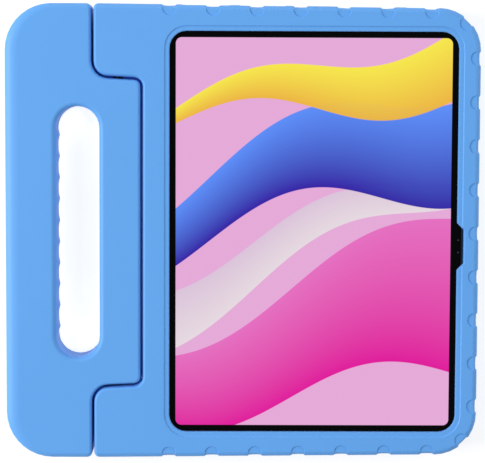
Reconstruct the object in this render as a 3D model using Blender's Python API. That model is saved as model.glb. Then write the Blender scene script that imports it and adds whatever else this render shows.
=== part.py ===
"""Kids tablet case: a moulded foam case whose carry handle turns back into a stand, and the tablet
that it holds. Metres. It lies on its back: +Z is the way the screen faces, +X runs from the handle
to the far side, and +Y is the end with the tablet's power button."""

import math
from typing import NamedTuple

import bmesh
import bpy
from mathutils import Matrix, Vector

# Fits
GAP = 0.0003  # between pieces that touch
SEAM = 0.0013  # open joint between the handle and the case
TURN_CLEARANCE = 0.0005  # past the hinge's round ends as the handle turns

# Tablet
TABLET_WIDTH = 0.1816
TABLET_LENGTH = 0.2504
TABLET_THICKNESS = 0.0070
TABLET_CORNER = 0.0125
TABLET_BACK_ROUND = 0.0024
TABLET_FRONT_ROUND = 0.0006
TRAY_SLOPE = 0.0012  # inside the tray, where its floor meets its walls
HOUSING_WALL = 0.0011
GLASS_THICKNESS = 0.0008
GLASS_BEVEL = 0.0002
DISPLAY_THICKNESS = 0.0014
FRONT_CAMERA_RADIUS = 0.0008
FRONT_CAMERA_INSET = 0.0027  # from the tablet's edge to the lens's middle
FRONT_CAMERA_SPACING = 0.0075  # between the camera and the light sensor
LENS_BEVEL = 0.0001
REAR_CAMERA_RADIUS = 0.0055
REAR_CAMERA_RISE = 0.0012
REAR_CAMERA_SEAT = 0.0004  # how deep the camera's ring and lens sit in the tray's back
REAR_CAMERA_WALL = 0.0014
REAR_CAMERA_BEVEL = 0.0003
REAR_CAMERA_INSET_X = 0.0132
REAR_CAMERA_INSET_Y = 0.0150
BUTTON_THICKNESS = 0.0026
BUTTON_RISE = 0.0007
BUTTON_INSET = 0.02575  # from the tablet's long side to the middle of its buttons
POWER_LENGTH = 0.0150
VOLUME_LENGTH = 0.0105
VOLUME_SPACING = 0.0125
PORT_WIDTH = 0.0090
PORT_HEIGHT = 0.0032
PORT_DEPTH = 0.0050
PORT_WALL = 0.0004
PORT_TONGUE = 0.0007
SPEAKER_LENGTH = 0.0220
SPEAKER_HEIGHT = 0.0026
SPEAKER_THICKNESS = 0.0014
SPEAKER_HOLES = 6
SPEAKER_HOLE_RADIUS = 0.0006
TOP_SPEAKER_INSET = 0.05975  # from the tablet's long side to the speaker's middle
BOTTOM_SPEAKER_INSET = 0.03775
BATTERY_MARGIN = 0.0090
BOARD_WIDTH = 0.0260

# Case
FLOOR = 0.0144  # foam behind the tablet
LIP = 0.0030  # foam over the tablet's front
LIP_OVERLAP = 0.0036  # how far the lip reaches in over the tablet
LIP_STEP = 0.0006  # the lip lies this much below the front face
LIP_SLOPE = 0.0006  # width of the slope down to it
LIP_BAND = 0.0027
LIP_ROUND = 0.0007
FAR_WALL = 0.0093
SPINE = 0.01225  # foam between the tablet and the handle's recess
END_WALL = 0.0124
END_TAPER = 0.0022  # by which each end has drawn in at the far side
CASE_CORNER = 0.0256
OPENING_CORNER = 0.0104
FRONT_ROUND = 0.0035
BACK_ROUND = 0.0030
SEAM_SHARE = 0.5  # how much of those roundings the edges along the seam get
NOTCH_DEPTH = 0.0041  # camera notch in the lip
NOTCH_LENGTH = 0.0284
NOTCH_DROP = 0.0079  # from the case's middle line down to the notch's middle
NOTCH_ROUND = 0.0012
END_FLUTES = 7
SIDE_FLUTES = 9
FLUTE_WIDTH = 0.0090
FLUTE_DEPTH = 0.0009
FLUTE_REACH = 0.0067  # from the case's edge to a flute's round end on the front face
FLUTE_DROP = 0.0006  # depth of that end below the front face
FLUTE_SLOPE = 0.0004  # width of its sloping wall
FLUTE_START = 0.0160  # from the handle's recess to the first flute
WINDOW_HEIGHT = 0.0070
WINDOW_MARGIN = 0.0035
WINDOW_FLARE = 0.0010
CAMERA_HOLE_MARGIN = 0.0025
CAMERA_HOLE_CORNER = 0.0040
CAMERA_HOLE_FLARE = 0.0030
CAMERA_HOLE_FLARE_DEPTH = 0.0090
BACK_GROOVES = 7
BACK_GROOVE_PITCH = 0.0160
BACK_GROOVE_WIDTH = 0.0060
BACK_GROOVE_SLOPE = 0.0010  # width of its sloping walls
BACK_GROOVE_LENGTH = 0.1500
BACK_GROOVE_DEPTH = 0.0020

# Hinge and handle
PIVOT_HEIGHT = 0.0100
HINGE_REACH = 0.01415  # from the pivot to the round ends on each side of the seam
HINGE_OPEN = math.radians(115)
EAR_LENGTH = 0.0443  # from the case's end to the seam round the tongue
TONGUE_TAPER = 0.0015  # by which each side of the tongue has drawn in at its end
TONGUE_CORNER = 0.0040
SEAM_CORNER = 0.0090
EAR_TIP_CORNER = 0.0030
GRIP_WIDTH = 0.0305
GRIP_SHARE = 2.4  # how many times as wide as high the roundings of the grip's outer side are
SLOT_WIDTH = 0.0263
SLOT_LENGTH = 0.1523
SLOT_ROUND = 0.0030
BRIDGE_WIDTH = 0.0107  # from the pivot line to the slot
HANDLE_CORNER = 0.0280
FINGER_PITCH = 0.01305
FINGER_POINTS = 4  # points of the outline in each pitch
FINGER_RIDGE = 0.0013
GRIP_BULGE = 0.0002
PIN_RADIUS = 0.0030
PIN_BARBS = 2
PIN_BARB = 0.0006  # height of a barb
PIN_ROOT = 0.0150  # length held in the handle
PIN_TIP = 0.0120  # length in the bush
BUSH_RADIUS = 0.0050
BUSH_END = 0.0012

# Places that follow from the sizes
THICKNESS = FLOOR + GAP + TABLET_THICKNESS + GAP + LIP
TABLET_BACK = FLOOR + GAP
TABLET_FRONT = TABLET_BACK + TABLET_THICKNESS
POCKET_TOP = TABLET_FRONT + GAP
TABLET_MIDDLE = (TABLET_BACK + TABLET_FRONT) / 2
HANDLE_REACH = BRIDGE_WIDTH + SLOT_WIDTH + GRIP_WIDTH
RECESS_REACH = HINGE_REACH + SEAM
CASE_REACH = RECESS_REACH + SPINE + GAP + TABLET_WIDTH + GAP + FAR_WALL
PIVOT_X = (HANDLE_REACH - CASE_REACH) / 2
FAR_X = PIVOT_X + CASE_REACH
TABLET_X = FAR_X - FAR_WALL - GAP - TABLET_WIDTH / 2
HALF_LENGTH = TABLET_LENGTH / 2 + GAP + END_WALL
FAR_HALF_LENGTH = HALF_LENGTH - END_TAPER
TONGUE_HALF = HALF_LENGTH - EAR_LENGTH
TONGUE_AT_PIN = TONGUE_HALF - TONGUE_TAPER / 2  # from the middle line to the tongue's side
BUSH_MOUTH = TONGUE_AT_PIN + SEAM + GAP
NOTCH_PLACE = -NOTCH_DROP
POWER_PLACE = TABLET_WIDTH / 2 - BUTTON_INSET  # places across the tablet, from its middle
VOLUME_PLACE = -POWER_PLACE
TOP_SPEAKER_PLACE = TABLET_WIDTH / 2 - TOP_SPEAKER_INSET
BOTTOM_SPEAKER_PLACE = TABLET_WIDTH / 2 - BOTTOM_SPEAKER_INSET
OVERCUT = 0.0010  # how far a cutter runs past the face that it cuts
SHARPEST = 0.0002  # least radius of a rounded corner

TOP_END = Matrix.Rotation(math.radians(-90), 4, "X")  # turns +Z to +Y
BOTTOM_END = Matrix.Rotation(math.radians(90), 4, "X")  # turns +Z to -Y

LENS_SHARE = 0.9  # of a lens's radius, at its front edge
RIM_STEPS = 2  # in the small rounding round the opening

# Shape across a flute: (share of its half width, share of its depth)
FLUTE_PROFILE = ((-1.0, 0.0), (-0.74, 0.85), (0.0, 1.0), (0.74, 0.85), (1.0, 0.0))


class Corner(NamedTuple):
    """One rounded corner of an outline, and the side that leaves it."""

    x: float
    y: float
    radius: float
    steps: int = 5
    share: float = 1.0  # how much of an inset the leaving side takes
    dents: tuple = ()  # (distance along the leaving side, depth)
    nicks: tuple = ()  # (share of the corner's turn, depth)


def outline(corners, inset=0.0):
    """Points anticlockwise round the corners, each side moved in by inset times its share."""
    points = []
    befores = corners[-1:] + corners[:-1]
    afters = corners[1:] + corners[:1]
    for before, corner, after in zip(befores, corners, afters):
        here = Vector((corner.x, corner.y))
        come = (here - Vector((before.x, before.y))).normalized()
        go = (Vector((after.x, after.y)) - here).normalized()
        turn = math.atan2(come.cross(go), come.dot(go))
        in_before = Vector((-come.y, come.x))
        in_after = Vector((-go.y, go.x))
        shift_before = inset * before.share
        shift_after = inset * corner.share
        spread = in_before.cross(in_after)
        move_x = (shift_before * in_after.y - shift_after * in_before.y) / spread
        move_y = (shift_after * in_before.x - shift_before * in_after.x) / spread
        tip = here + Vector((move_x, move_y))
        bend = math.copysign(1, turn)
        radius = max(corner.radius - bend * (shift_before + shift_after) / 2, SHARPEST)
        start = tip - come * radius * math.tan(abs(turn) / 2)
        centre = start + in_before * radius * bend
        stops = [(step / corner.steps, 0.0) for step in range(corner.steps + 1)]
        if corner.nicks:
            first, last = corner.nicks[0][0], corner.nicks[-1][0]
            stops = [stop for stop in stops if not first <= stop[0] <= last]
            stops = sorted(stops + list(corner.nicks))
        for share, depth in stops:
            spoke = Matrix.Rotation(turn * share, 2) @ (start - centre)
            points.append(centre + spoke * (1 - bend * depth / radius))
        for distance, depth in corner.dents:
            points.append(here + in_after * (shift_after + depth) + go * distance)
    return points


def ring(corners, height, inset=0.0):
    return [Vector((x, y, height)) for x, y in outline(corners, inset)]


def rounded(width, length, radius, middle=(0.0, 0.0), steps=5):
    """Corners of a rectangle about its middle, anticlockwise from the lower left."""
    signs = ((-1, -1), (1, -1), (1, 1), (-1, 1))
    return [
        Corner(middle[0] + x * width / 2, middle[1] + y * length / 2, radius, steps)
        for x, y in signs
    ]


def rounded_levels(low, high, low_round, high_round, middles=0, steps=3):
    """(height, inset) up a wall with a round edge at its foot and at its top."""
    angles = [math.pi / 2 * step / steps for step in range(steps + 1)]
    foot = [(low + low_round * (1 - math.cos(a)), low_round * (1 - math.sin(a))) for a in angles]
    top = [(high - high_round * (1 - math.cos(a)), high_round * (1 - math.sin(a))) for a in angles]
    start, end = foot[-1][0], top[-1][0]
    between = [(start + (end - start) * (i + 1) / (middles + 1), 0.0) for i in range(middles)]
    return foot + between + top[::-1]


def clear_scene():
    for obj in list(bpy.data.objects):
        bpy.data.objects.remove(obj, do_unlink=True)


def material(name, colour, roughness, metallic=0.0):
    """A Principled BSDF, made once for each name."""
    made = bpy.data.materials.get(name)
    if made is None:
        made = bpy.data.materials.new(name)
        made.use_nodes = True
        shader = made.node_tree.nodes["Principled BSDF"]
        shader.inputs["Base Color"].default_value = (*colour, 1)
        shader.inputs["Roughness"].default_value = roughness
        shader.inputs["Metallic"].default_value = metallic
        made.diffuse_color = (*colour, 1)
    return made


def foam():
    return material("blue_foam", (0.133, 0.381, 0.823), 0.55)


def hinge_plastic():
    return material("dark_plastic", (0.03, 0.06, 0.14), 0.4)


def housing_metal():
    return material("tablet_metal", (0.55, 0.57, 0.60), 0.35, 1.0)


def black_glass():
    return material("black_glass", (0.005, 0.005, 0.006), 0.08)


def grey_plastic():
    return material("grey_plastic", (0.12, 0.12, 0.13), 0.5)


def loft(name, rings, skin, place=None, closed=False):
    """A solid through rings of equally many points, listed from the lowest up. A closed loft
    joins its last ring to its first, and any other has a flat cap at each end."""
    bm = bmesh.new()
    loops = [[bm.verts.new(point) for point in points] for points in rings]
    pairs = list(zip(loops, loops[1:]))
    if closed:
        pairs.append((loops[-1], loops[0]))
    for lower, upper in pairs:
        for i in range(len(lower)):
            j = (i + 1) % len(lower)
            bm.faces.new((lower[i], lower[j], upper[j], upper[i]))
    if not closed:
        bm.faces.new(loops[0][::-1])
        bm.faces.new(loops[-1])
    if place is not None:
        bm.transform(place)
    mesh = bpy.data.meshes.new(name)
    bm.to_mesh(mesh)
    bm.free()
    mesh.shade_smooth()
    mesh.set_sharp_from_angle(angle=math.radians(35))
    obj = bpy.data.objects.new(name, mesh)
    bpy.context.scene.collection.objects.link(obj)
    if skin is not None:
        mesh.materials.append(skin)
    return obj


def lathe(name, profile, skin, place, steps=20, closed=False):
    """A turned piece: profile lists (radius, height) round its section, up its outer side."""
    turns = [2 * math.pi * step / steps for step in range(steps)]
    rings = [[Vector((r * math.cos(a), r * math.sin(a), h)) for a in turns] for r, h in profile]
    return loft(name, rings, skin, place, closed)


def block(name, corners, levels, skin, place=None):
    """A solid whose outline follows levels of (height, inset)."""
    return loft(name, [ring(corners, height, inset) for height, inset in levels], skin, place)


def cut(obj, cutter):
    """Subtracts cutter from obj, and keeps it out of view."""
    cutter.hide_render = True
    cutter.display_type = "WIRE"
    modifier = obj.modifiers.new(cutter.name, "BOOLEAN")
    modifier.operation = "DIFFERENCE"
    modifier.solver = "EXACT"
    modifier.object = cutter


def put_origin(obj, point):
    """Moves the object's origin to the point and leaves its shape where it is."""
    obj.data.transform(Matrix.Translation(-Vector(point)))
    obj.location = point


# Hinge geometry, from heights above the floor


def rise_of(height):
    return height - PIVOT_HEIGHT


def round_reach(height):
    """From the pivot to an ear's or the tongue's end: flat above the pivot, round below it."""
    drop = min(rise_of(height), 0.0)
    return math.sqrt(HINGE_REACH**2 - drop**2)


def stop_reach(height):
    """From the pivot to the handle's shoulder on one side and the case's recess wall on the other.
    The feet of both slope away, so that they lie flat together when the handle is right back."""
    stop = PIVOT_HEIGHT + GAP + rise_of(height) * math.cos(HINGE_OPEN)
    return max(RECESS_REACH, stop / math.sin(HINGE_OPEN))


def foot_share(height):
    """Shrinks the corners in plan below the pivot, where the handle comes to lie flat on the case."""
    return min(height / PIVOT_HEIGHT, 1.0) ** 2


def ear_corner(height):
    """Radius of an ear's inner corner. It grows above the pivot, no faster than lets the handle's
    hollow side of it pass round the ear's end."""
    swept = HINGE_REACH + TURN_CLEARANCE
    rise = min(max(rise_of(height), 0.0), swept)
    room = RECESS_REACH - math.sqrt(swept**2 - rise**2)
    return min(room + math.sqrt(2 * room * SEAM), SEAM_CORNER) * foot_share(height)


# Case


def end_flute_places():
    """X of each flute along the two short ends."""
    first = PIVOT_X + RECESS_REACH + FLUTE_START
    last = FAR_X - CASE_CORNER - FLUTE_WIDTH / 2
    return [first + (last - first) * i / (END_FLUTES - 1) for i in range(END_FLUTES)]


def side_flute_places():
    """Y of each flute along the far side."""
    last = FAR_HALF_LENGTH - CASE_CORNER - FLUTE_WIDTH / 2
    return [last * (2 * i / (SIDE_FLUTES - 1) - 1) for i in range(SIDE_FLUTES)]


def flute_dents(distances, depth):
    return tuple(
        (distance + share * FLUTE_WIDTH / 2, depth * level)
        for distance in sorted(distances)
        for share, level in FLUTE_PROFILE
    )


def corner_flute(depth):
    half = FLUTE_WIDTH / 2 / (CASE_CORNER * math.pi / 2)
    return tuple((0.5 + share * half, depth * level) for share, level in FLUTE_PROFILE)


def shell_corners(height, flute_depth):
    ear_end = PIVOT_X - round_reach(height)
    recess = PIVOT_X + stop_reach(height)
    ear_side = TONGUE_HALF + SEAM
    ends = end_flute_places()
    bottom = flute_dents([x - ear_end for x in ends], flute_depth)
    top = flute_dents([FAR_X - x for x in ends], flute_depth)
    side = flute_dents([y + FAR_HALF_LENGTH for y in side_flute_places()], flute_depth)
    nicks = corner_flute(flute_depth)
    inner = ear_corner(height)
    deep = (TONGUE_CORNER + SEAM) * foot_share(height)
    deep_side = ear_side - TONGUE_TAPER
    seam = SEAM_SHARE
    return [
        Corner(ear_end, -HALF_LENGTH, EAR_TIP_CORNER, 3, 1.0, bottom),
        Corner(FAR_X, -FAR_HALF_LENGTH, CASE_CORNER, 8, 1.0, side, nicks),
        Corner(FAR_X, FAR_HALF_LENGTH, CASE_CORNER, 8, 1.0, top, nicks),
        Corner(ear_end, HALF_LENGTH, EAR_TIP_CORNER, 3, seam),
        Corner(ear_end, ear_side, inner, 6, seam),
        Corner(recess, deep_side, deep, 4, seam),
        Corner(recess, -deep_side, deep, 4, seam),
        Corner(ear_end, -ear_side, inner, 6, seam),
    ]


def shell_body():
    """The foam block before it is hollowed, with its flutes down the sides."""
    levels = rounded_levels(0, THICKNESS, BACK_ROUND, FRONT_ROUND, 4)
    rings = [ring(shell_corners(height, FLUTE_DEPTH), height, inset) for height, inset in levels]
    return loft("case_shell", rings, foam())


def flute_end_places():
    """X, y and outward angle of each flute where it runs onto the front face."""
    ear_end = PIVOT_X - HINGE_REACH
    slope = END_TAPER / (FAR_X - ear_end)
    lean = math.atan(slope)
    quarter = math.pi / 2
    places = [(FAR_X, y, 0.0) for y in side_flute_places()]
    for x in end_flute_places():
        y = HALF_LENGTH - slope * (x - ear_end)
        places += [(x, y, quarter - lean), (x, -y, lean - quarter)]
    spoke = CASE_CORNER * math.cos(quarter / 2)
    x = FAR_X - CASE_CORNER + spoke
    y = FAR_HALF_LENGTH - CASE_CORNER + spoke
    return places + [(x, y, quarter / 2), (x, -y, -quarter / 2)]


def flute_end_cutter(index, x, y, angle):
    """Carries a flute onto the front face, to a round end."""
    half = FLUTE_WIDTH / 2
    corners = [
        Corner(-FLUTE_REACH, -half, half - SHARPEST, 4),
        Corner(FLUTE_REACH, -half, SHARPEST, 1),
        Corner(FLUTE_REACH, half, SHARPEST, 1),
        Corner(-FLUTE_REACH, half, half - SHARPEST, 4),
    ]
    levels = [
        (THICKNESS - FLUTE_DROP, FLUTE_SLOPE),
        (THICKNESS, 0.0),
        (THICKNESS + OVERCUT, 0.0),
    ]
    place = Matrix.Translation((x, y, 0)) @ Matrix.Rotation(angle, 4, "Z")
    return block(f"flute_end_cutter_{index}", corners, levels, None, place)


def opening_corners():
    """The front opening: a rounded rectangle with the camera notch in its far side."""
    width = TABLET_WIDTH - 2 * LIP_OVERLAP
    length = TABLET_LENGTH - 2 * LIP_OVERLAP
    low_left, low_right, high_right, high_left = rounded(
        width, length, OPENING_CORNER, (TABLET_X, 0), 6
    )
    side = TABLET_X + width / 2
    low = NOTCH_PLACE - NOTCH_LENGTH / 2
    high = NOTCH_PLACE + NOTCH_LENGTH / 2
    notch = [
        Corner(side, low, NOTCH_ROUND, 2),
        Corner(side + NOTCH_DEPTH, low + NOTCH_DEPTH, NOTCH_ROUND, 2),
        Corner(side + NOTCH_DEPTH, high - NOTCH_DEPTH, NOTCH_ROUND, 2),
        Corner(side, high, NOTCH_ROUND, 2),
    ]
    return [low_left, low_right, *notch, high_right, high_left]


def opening_cutter():
    """Cuts the lip's opening, with a small rounding round its rim."""
    rim = THICKNESS - LIP_STEP
    levels = [(POCKET_TOP - OVERCUT, 0.0)]
    for step in range(RIM_STEPS + 1):
        angle = math.pi / 2 * step / RIM_STEPS
        rise, spread = math.sin(angle), 1 - math.cos(angle)
        levels.append((rim - LIP_ROUND * (1 - rise), -LIP_ROUND * spread))
    levels.append((rim + OVERCUT, -LIP_ROUND))
    return block("opening_cutter", opening_corners(), levels, None)


def lip_step_cutter():
    """Sinks a band round the opening a little below the front face."""
    width = TABLET_WIDTH - 2 * LIP_OVERLAP + 2 * LIP_BAND
    length = TABLET_LENGTH - 2 * LIP_OVERLAP + 2 * LIP_BAND
    corners = rounded(width, length, OPENING_CORNER + LIP_BAND, (TABLET_X, 0), 6)
    levels = [
        (THICKNESS - LIP_STEP, 0.0),
        (THICKNESS, -LIP_SLOPE),
        (THICKNESS + OVERCUT, -LIP_SLOPE),
    ]
    return block("lip_step_cutter", corners, levels, None)


def pocket_cutter():
    corners = rounded(
        TABLET_WIDTH + 2 * GAP, TABLET_LENGTH + 2 * GAP, TABLET_CORNER + GAP, (TABLET_X, 0), 6
    )
    return block("pocket_cutter", corners, [(FLOOR, 0.0), (POCKET_TOP, 0.0)], None)


def end_window_cutter(name, place, length, end):
    """A window in a short end, from the pocket out, wider at its mouth. End is TOP_END or BOTTOM_END."""
    corners = rounded(length, WINDOW_HEIGHT, WINDOW_HEIGHT / 2 - SHARPEST, steps=4)
    inner = TABLET_LENGTH / 2 + GAP - OVERCUT
    mouth = HALF_LENGTH - FRONT_ROUND
    levels = [
        (inner, 0.0),
        (mouth - WINDOW_FLARE, 0.0),
        (HALF_LENGTH + OVERCUT, -WINDOW_FLARE - OVERCUT),
    ]
    position = Matrix.Translation((TABLET_X + place, 0, TABLET_MIDDLE))
    return block(name, corners, levels, None, position @ end)


def camera_place():
    x = TABLET_X + TABLET_WIDTH / 2 - REAR_CAMERA_INSET_X
    y = TABLET_LENGTH / 2 - REAR_CAMERA_INSET_Y
    return x, y


def camera_hole_cutter():
    """The hole behind the rear camera, wider at its mouth."""
    side = 2 * (REAR_CAMERA_RADIUS + CAMERA_HOLE_MARGIN)
    corners = rounded(side, side, CAMERA_HOLE_CORNER, camera_place(), 4)
    levels = [
        (-OVERCUT, -CAMERA_HOLE_FLARE),
        (0.0, -CAMERA_HOLE_FLARE),
        (CAMERA_HOLE_FLARE_DEPTH, 0.0),
        (FLOOR + OVERCUT, 0.0),
    ]
    return block("camera_hole_cutter", corners, levels, None)


def back_groove_cutter(index):
    """One of the parallel grooves in the back."""
    x = TABLET_X + (index - (BACK_GROOVES - 1) / 2) * BACK_GROOVE_PITCH
    radius = BACK_GROOVE_WIDTH / 2 - SHARPEST
    corners = rounded(BACK_GROOVE_WIDTH, BACK_GROOVE_LENGTH, radius, (x, 0), 3)
    levels = [(-OVERCUT, 0.0), (0.0, 0.0), (BACK_GROOVE_DEPTH, BACK_GROOVE_SLOPE)]
    return block(f"back_groove_cutter_{index}", corners, levels, None)


def bush_bore_cutter(name, end):
    """The blind bore in an ear for its bush."""
    radius = BUSH_RADIUS + GAP
    depth = PIN_TIP + GAP + BUSH_END + GAP
    profile = [(radius, BUSH_MOUTH - GAP - OVERCUT), (radius, BUSH_MOUTH + depth)]
    place = Matrix.Translation((PIVOT_X, 0, PIVOT_HEIGHT)) @ end
    return lathe(name, profile, None, place)


def window_list():
    """Name, place, length and end of each window in the case's short ends."""
    volume_length = VOLUME_LENGTH + VOLUME_SPACING
    margin = 2 * WINDOW_MARGIN
    return [
        ("power_window", POWER_PLACE, POWER_LENGTH + margin, TOP_END),
        ("volume_window", VOLUME_PLACE, volume_length + margin, TOP_END),
        ("top_speaker_window_left", -TOP_SPEAKER_PLACE, SPEAKER_LENGTH + margin, TOP_END),
        ("top_speaker_window_right", TOP_SPEAKER_PLACE, SPEAKER_LENGTH + margin, TOP_END),
        ("port_window", 0.0, PORT_WIDTH + 2 * margin, BOTTOM_END),
        ("bottom_speaker_window_left", -BOTTOM_SPEAKER_PLACE, SPEAKER_LENGTH + margin, BOTTOM_END),
        ("bottom_speaker_window_right", BOTTOM_SPEAKER_PLACE, SPEAKER_LENGTH + margin, BOTTOM_END),
    ]


def case_shell():
    shell = shell_body()
    cut(shell, pocket_cutter())
    cut(shell, opening_cutter())
    cut(shell, lip_step_cutter())
    for index, (x, y, angle) in enumerate(flute_end_places()):
        cut(shell, flute_end_cutter(index, x, y, angle))
    for name, place, length, end in window_list():
        cut(shell, end_window_cutter(name, place, length, end))
    cut(shell, camera_hole_cutter())
    for index in range(BACK_GROOVES):
        cut(shell, back_groove_cutter(index))
    cut(shell, bush_bore_cutter("top_bush_cutter", TOP_END))
    cut(shell, bush_bore_cutter("bottom_bush_cutter", BOTTOM_END))


# Handle


def handle_corners(height):
    outer = PIVOT_X - HANDLE_REACH
    shoulder = PIVOT_X - stop_reach(height)
    tongue = PIVOT_X + round_reach(height)
    inner = ear_corner(height) + SEAM
    tip_side = TONGUE_HALF - TONGUE_TAPER
    seam = SEAM_SHARE
    return [
        Corner(outer, -HALF_LENGTH, HANDLE_CORNER, 9),
        Corner(shoulder, -HALF_LENGTH, EAR_TIP_CORNER, 3, seam),
        Corner(shoulder, -TONGUE_HALF, inner, 6, seam),
        Corner(tongue, -tip_side, TONGUE_CORNER, 4, seam),
        Corner(tongue, tip_side, TONGUE_CORNER, 4, seam),
        Corner(shoulder, TONGUE_HALF, inner, 6, seam),
        Corner(shoulder, HALF_LENGTH, EAR_TIP_CORNER, 3),
        Corner(outer, HALF_LENGTH, HANDLE_CORNER, 9, GRIP_SHARE),
    ]


def finger_dents(bulge):
    """The grip's side of the slot: ridges between the fingers, on a wall that swells by bulge."""
    straight = (SLOT_LENGTH - SLOT_WIDTH) / 2
    spacing = FINGER_PITCH / FINGER_POINTS
    count = int(straight / spacing)
    dents = []
    for step in range(count, -count - 1, -1):
        across = (step / FINGER_POINTS) % 1.0
        ridge = FINGER_RIDGE * (2 * across - 1) ** 2
        fade = min((straight - abs(step * spacing)) / spacing, 1.0)
        distance = SLOT_LENGTH / 2 - step * spacing
        dents.append((distance, bulge * fade * (GRIP_BULGE + ridge)))
    return tuple(dents)


def slot_cutter():
    """The hand slot, rounded outwards at both faces."""
    middle_x = PIVOT_X - BRIDGE_WIDTH - SLOT_WIDTH / 2
    radius = SLOT_WIDTH / 2 - SHARPEST
    levels = rounded_levels(0, THICKNESS, SLOT_ROUND, SLOT_ROUND, 5)
    flared = [(-OVERCUT, SLOT_ROUND), *levels, (THICKNESS + OVERCUT, SLOT_ROUND)]
    rings = []
    for height, flare in flared:
        across = 2 * (height - SLOT_ROUND) / (THICKNESS - 2 * SLOT_ROUND) - 1
        bulge = math.sqrt(max(1 - across**2, 0.0))
        corners = rounded(SLOT_WIDTH, SLOT_LENGTH, radius, (middle_x, 0), 7)
        corners[-1] = corners[-1]._replace(dents=finger_dents(bulge))
        rings.append(ring(corners, height, -flare))
    return loft("slot_cutter", rings, None)


def pin_bore_cutter(name, end):
    """The bore in the tongue's end that holds a hinge pin."""
    radius = PIN_RADIUS + PIN_BARB + GAP
    profile = [(radius, TONGUE_AT_PIN - PIN_ROOT - GAP), (radius, TONGUE_AT_PIN + OVERCUT)]
    place = Matrix.Translation((PIVOT_X, 0, PIVOT_HEIGHT)) @ end
    return lathe(name, profile, None, place)


def handle(hinge):
    levels = rounded_levels(0, THICKNESS, BACK_ROUND, FRONT_ROUND, 4)
    rings = [ring(handle_corners(height), height, inset) for height, inset in levels]
    body = loft("handle", rings, foam())
    cut(body, slot_cutter())
    cut(body, pin_bore_cutter("top_pin_cutter", TOP_END))
    cut(body, pin_bore_cutter("bottom_pin_cutter", BOTTOM_END))
    hang(body, hinge)


def hang(obj, hinge):
    """Parents a piece to the empty on the hinge's axis, with its origin there."""
    obj.data.transform(Matrix.Translation(-hinge.location))
    obj.parent = hinge


def hinge_pin(name, end, hinge):
    """A barbed stub axle: its root is held in the handle, and its tip turns in the bush."""
    barb = PIN_RADIUS + PIN_BARB
    root = TONGUE_AT_PIN - PIN_ROOT
    pitch = PIN_ROOT / (PIN_BARBS + 1)
    profile = [(PIN_RADIUS, root), (barb, root + PIN_BARB)]
    for index in range(PIN_BARBS):
        start = root + PIN_BARB + index * pitch
        profile += [(barb, start + pitch / 2), (PIN_RADIUS, start + pitch / 2)]
        profile += [(PIN_RADIUS, start + pitch - PIN_BARB), (barb, start + pitch)]
    collar = TONGUE_AT_PIN - GAP
    profile += [(barb, collar), (PIN_RADIUS, collar)]
    tip = BUSH_MOUTH + PIN_TIP
    profile += [(PIN_RADIUS, tip - PIN_BARB), (PIN_RADIUS - PIN_BARB, tip)]
    place = Matrix.Translation((PIVOT_X, 0, PIVOT_HEIGHT)) @ end
    hang(lathe(name, profile, hinge_plastic(), place, 16), hinge)


def hinge_bush(name, end):
    """A closed plastic bush in an ear, which the pin's tip turns in."""
    bore = PIN_RADIUS + GAP
    bottom = BUSH_MOUTH + PIN_TIP + GAP
    profile = [
        (bore, bottom),
        (bore, BUSH_MOUTH),
        (BUSH_RADIUS, BUSH_MOUTH),
        (BUSH_RADIUS, bottom + BUSH_END),
    ]
    place = Matrix.Translation((PIVOT_X, 0, PIVOT_HEIGHT)) @ end
    lathe(name, profile, hinge_plastic(), place)


# Tablet


def tablet_outline(margin=0.0):
    """The tablet's outline, drawn in by margin."""
    return rounded(
        TABLET_WIDTH - 2 * margin,
        TABLET_LENGTH - 2 * margin,
        max(TABLET_CORNER - margin, SHARPEST),
        (TABLET_X, 0),
        6,
    )


def end_piece_place(place, end):
    return Matrix.Translation((TABLET_X + place, 0, TABLET_MIDDLE)) @ end


def end_hole(housing, name, place, length, height, end):
    """Cuts a slot through the housing's wall at a short end, with clearance for the piece in it."""
    radius = height / 2 + GAP - SHARPEST
    corners = rounded(length + 2 * GAP, height + 2 * GAP, radius, steps=3)
    edge = TABLET_LENGTH / 2
    levels = [(edge - HOUSING_WALL - OVERCUT, 0.0), (edge + OVERCUT, 0.0)]
    cut(housing, block(f"{name}_cutter", corners, levels, None, end_piece_place(place, end)))


def tablet_housing():
    """The tablet's metal tray, open at the front for its glass."""
    levels = rounded_levels(TABLET_BACK, TABLET_FRONT, TABLET_BACK_ROUND, TABLET_FRONT_ROUND)
    housing = block("tablet_housing", tablet_outline(), levels, housing_metal())
    floor = TABLET_BACK + HOUSING_WALL
    hollow = [(floor, TRAY_SLOPE), (floor + TRAY_SLOPE, 0.0)]
    hollow.append((TABLET_FRONT + OVERCUT, 0.0))
    cut(housing, block("tray_cutter", tablet_outline(HOUSING_WALL), hollow, None))
    x, y = camera_place()
    radius = REAR_CAMERA_RADIUS + GAP
    seat = TABLET_BACK + REAR_CAMERA_SEAT + GAP
    profile = [(radius, TABLET_BACK - OVERCUT), (radius, seat)]
    cut(housing, lathe("rear_camera_cutter", profile, None, Matrix.Translation((x, y, 0))))
    return housing


def cover_glass():
    top = TABLET_FRONT
    margin = HOUSING_WALL + GAP
    levels = [
        (top - GLASS_THICKNESS, 0.0),
        (top - GLASS_BEVEL, 0.0),
        (top, GLASS_BEVEL),
    ]
    glass = block("cover_glass", tablet_outline(margin), levels, black_glass())
    for name, y in front_sensor_places():
        place = Matrix.Translation((front_sensor_x(), y, top))
        radius = FRONT_CAMERA_RADIUS + GAP / 2
        profile = [(radius, -GLASS_THICKNESS / 2), (radius, OVERCUT)]
        cut(glass, lathe(f"{name}_cutter", profile, None, place, 12))


def front_sensor_x():
    return TABLET_X + TABLET_WIDTH / 2 - FRONT_CAMERA_INSET


def front_sensor_places():
    half = FRONT_CAMERA_SPACING / 2
    return [("front_camera", NOTCH_PLACE + half), ("light_sensor", NOTCH_PLACE - half)]


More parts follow.
